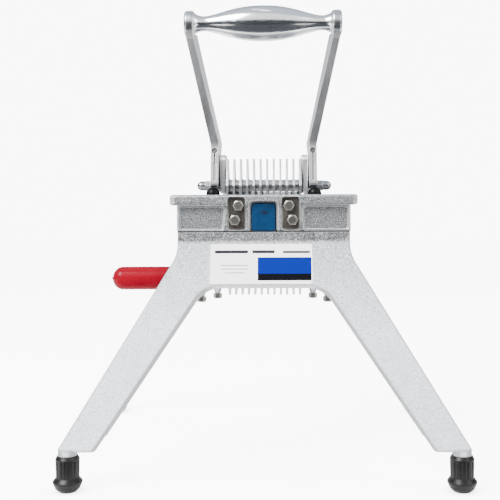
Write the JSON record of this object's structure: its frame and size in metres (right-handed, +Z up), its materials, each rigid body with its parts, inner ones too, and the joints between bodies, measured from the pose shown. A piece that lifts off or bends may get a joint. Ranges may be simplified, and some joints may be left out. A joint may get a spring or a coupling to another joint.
{
  "type": "manual onion slicer",
  "caption": "Lever-operated push-through onion slicer on four splayed legs, with a hinged comb pusher, a row of parallel blades and a side handle.",
  "frame": {"origin": "on the table plane, under the middle of the machine", "axes": "+Z up, -Y the front with the label and size block, +X to the right seen from the front"},
  "size_m": [0.4082, 0.3306, 0.461],
  "materials": {
    "cast_frame": "tumbled casting",
    "cast_legs": "fine blasted casting",
    "cast_cheek": "ground casting",
    "arm_aluminium": "ground and part polished",
    "polished_grip": "mirror polished",
    "fin_aluminium": "ground",
    "rail_aluminium": "machined",
    "blade_steel": "ground edge",
    "plated_steel": "zinc plated",
    "clamp_plate": "dark oxide",
    "size_block": "moulded",
    "foot_rubber": "moulded",
    "bumper_rubber": "moulded",
    "red_vinyl": "dipped vinyl",
    "label_white": "blank printed film",
    "bush_bronze": "sintered"
  },
  "bodies": {
    "frame": {"blade_01": "blade_steel", "blade_02": "blade_steel", "blade_03": "blade_steel", "blade_04": "blade_steel", "blade_05": "blade_steel", "blade_06": "blade_steel", "blade_07": "blade_steel", "blade_08": "blade_steel", "blade_09": "blade_steel", "blade_10": "blade_steel", "blade_11": "blade_steel", "blade_pins": "plated_steel", "bumper_left": "bumper_rubber", "bumper_right": "bumper_rubber", "clamp_bolts": "plated_steel", "foot_front_left": "foot_rubber", "foot_front_right": "foot_rubber", "foot_rear_left": "foot_rubber", "foot_rear_right": "foot_rubber", "front_blade_rail": "rail_aluminium", "front_clamp_plate_left": "clamp_plate", "front_clamp_plate_right": "clamp_plate", "front_label": "label_white", "front_leg_bolts": "plated_steel", "front_leg_casting": "cast_legs", "hinge_nuts": "plated_steel", "hinge_pin": "plated_steel", "main_frame": "cast_frame", "rear_blade_rail": "rail_aluminium", "rear_clamp_plates": "clamp_plate", "rear_leg_bolts": "plated_steel", "rear_leg_casting": "cast_legs", "side_handle_nut": "plated_steel", "side_handle_rod": "plated_steel", "side_handle_sleeve": "red_vinyl", "size_block": "size_block"},
    "pusher": {"acorn_nuts": "plated_steel", "arm_screws": "plated_steel", "cheek_left": "cast_cheek", "cheek_right": "cast_cheek", "fin_spacers": "fin_aluminium", "grip": "polished_grip", "grip_screws": "plated_steel", "handle_arm_left": "arm_aluminium", "handle_arm_right": "arm_aluminium", "hinge_bushes": "bush_bronze", "pusher_fin_01": "fin_aluminium", "pusher_fin_02": "fin_aluminium", "pusher_fin_03": "fin_aluminium", "pusher_fin_04": "fin_aluminium", "pusher_fin_05": "fin_aluminium", "pusher_fin_06": "fin_aluminium", "pusher_fin_07": "fin_aluminium", "pusher_fin_08": "fin_aluminium", "pusher_fin_09": "fin_aluminium", "pusher_fin_10": "fin_aluminium", "pusher_fin_11": "fin_aluminium", "pusher_fin_12": "fin_aluminium", "rod_washers": "plated_steel", "tie_rod": "plated_steel"}
  },
  "joints": [
    {"name": "pusher_hinge", "type": "hinge", "parent": "frame", "child": "pusher", "pos_m": [0, 0.092, 0.2813], "axis": [-1, 0, 0], "range_deg": [0, 80]}
  ]
}
